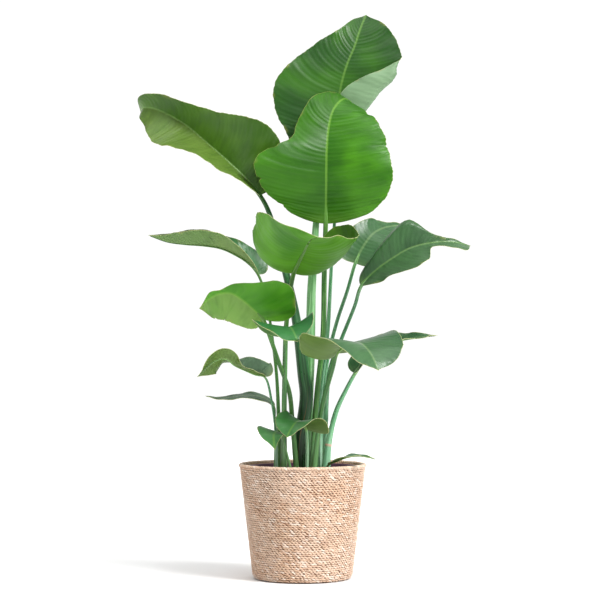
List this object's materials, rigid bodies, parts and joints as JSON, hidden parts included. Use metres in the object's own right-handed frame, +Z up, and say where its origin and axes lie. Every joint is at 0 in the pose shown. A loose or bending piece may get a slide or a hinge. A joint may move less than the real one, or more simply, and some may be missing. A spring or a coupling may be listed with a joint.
{
  "type": "potted bird of paradise",
  "caption": "Bird of paradise plant with tall stalks and broad arching leaves, in a grower's pot set inside a round coiled seagrass basket.",
  "frame": {"origin": "centre of the basket's base, on the surface that it stands on", "axes": "+Z up along the basket's axis; -Y towards the front of the plant; +X to its right"},
  "size_m": [0.7348, 0.4391, 1.2703],
  "materials": {
    "seagrass": "matte",
    "grower_pot": "satin",
    "potting_soil": "matte",
    "leaf_deep": "satin",
    "leaf_fresh": "satin",
    "stalk_green": "satin"
  },
  "bodies": {
    "root": {"basket": "seagrass", "nursery_pot": "grower_pot", "soil": "potting_soil", "leaf_crown_back": "leaf_deep", "leaf_crown_front": "leaf_fresh", "leaf_new_rolled": "stalk_green", "leaf_upper_left": "leaf_fresh", "leaf_middle_front": "leaf_fresh", "leaf_middle_left": "leaf_fresh", "leaf_middle_right_back": "leaf_deep", "leaf_middle_right": "leaf_deep", "leaf_lower_left": "leaf_fresh", "leaf_lower_front": "leaf_deep", "leaf_lower_right": "leaf_deep", "leaf_lower_right_back": "leaf_fresh", "leaf_base_front": "leaf_deep", "leaf_base_front_small": "leaf_deep", "leaf_base_left": "leaf_deep", "leaf_base_left_thin": "leaf_fresh", "leaf_base_right": "leaf_fresh"}
  },
  "joints": []
}
